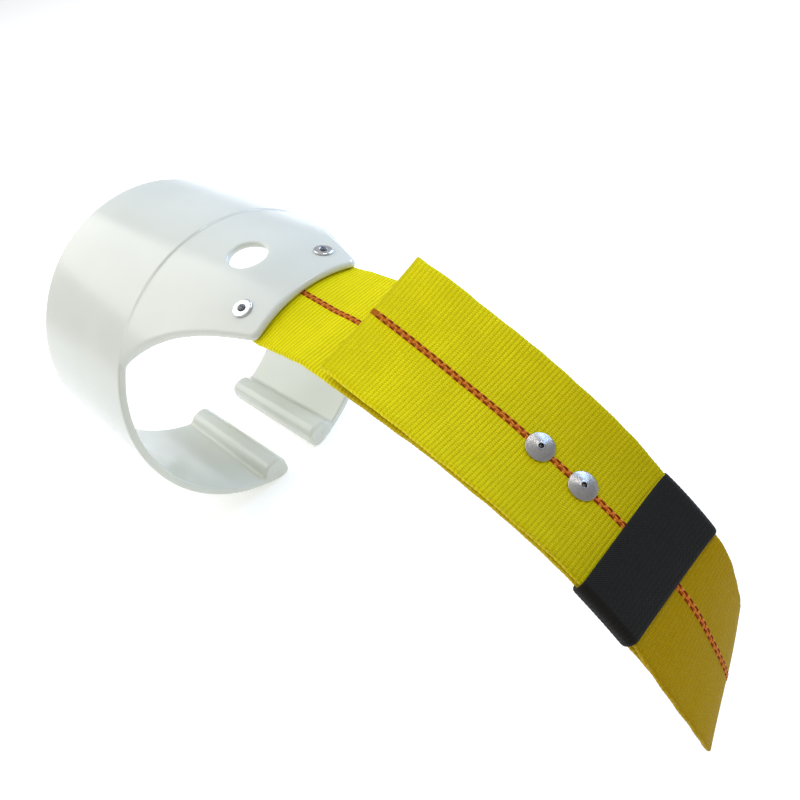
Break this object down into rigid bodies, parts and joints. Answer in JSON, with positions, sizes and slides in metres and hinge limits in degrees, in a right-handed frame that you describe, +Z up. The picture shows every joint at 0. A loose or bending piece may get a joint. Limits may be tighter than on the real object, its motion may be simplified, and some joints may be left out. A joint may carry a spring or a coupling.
{
  "type": "clip-on limb cuff with webbing strap",
  "caption": "Springy open ring cuff with inward lips and an arched tongue, carrying a folded flat webbing strap with a folded eye, riveted joints and a sliding keeper.",
  "frame": {"origin": "middle of the bounding box's bottom face, on the level the lip beads of the ring stand on", "axes": "+X along the cuff's axis from the ring towards the strap's eye, +Z up from the gap between the lips to the crest of the ring, +Y across the strap"},
  "size_m": [0.3024, 0.135, 0.1407],
  "materials": {
    "cuff_plastic": "glossy translucent white moulding",
    "webbing": "ribbed yellow woven webbing",
    "keeper_fabric": "black woven tape",
    "rivet_alloy": "satin aluminium",
    "rivet_steel": "bright steel"
  },
  "bodies": {
    "cuff": {"cuff_shell": "cuff_plastic", "webbing_root": "webbing", "cuff_rivet_near": "rivet_steel", "cuff_rivet_near_stub": "rivet_steel", "cuff_washer_near": "rivet_steel", "cuff_rivet_far": "rivet_steel", "cuff_rivet_far_stub": "rivet_steel", "cuff_washer_far": "rivet_steel"},
    "strap": {"webbing_strap": "webbing", "strap_rivet_a": "rivet_alloy", "strap_mandrel_a": "rivet_steel", "strap_washer_a": "rivet_alloy", "strap_rivet_b": "rivet_alloy", "strap_mandrel_b": "rivet_steel", "strap_washer_b": "rivet_alloy"},
    "keeper": {"keeper_sleeve": "keeper_fabric", "keeper_lap": "keeper_fabric", "keeper_stitch_a": "keeper_fabric", "keeper_stitch_b": "keeper_fabric"}
  },
  "joints": [
    {"name": "strap_flex", "type": "hinge", "parent": "cuff", "child": "strap", "pos_m": [0.00075, 0, 0.12634], "axis": [0, 1, 0], "range_deg": [-90, 55]},
    {"name": "keeper_slide", "type": "hinge", "parent": "strap", "child": "keeper", "pos_m": [0.04562, 0, -0.00471], "axis": [0, 1, 0], "range_deg": [-4.2, 1.6]}
  ]
}
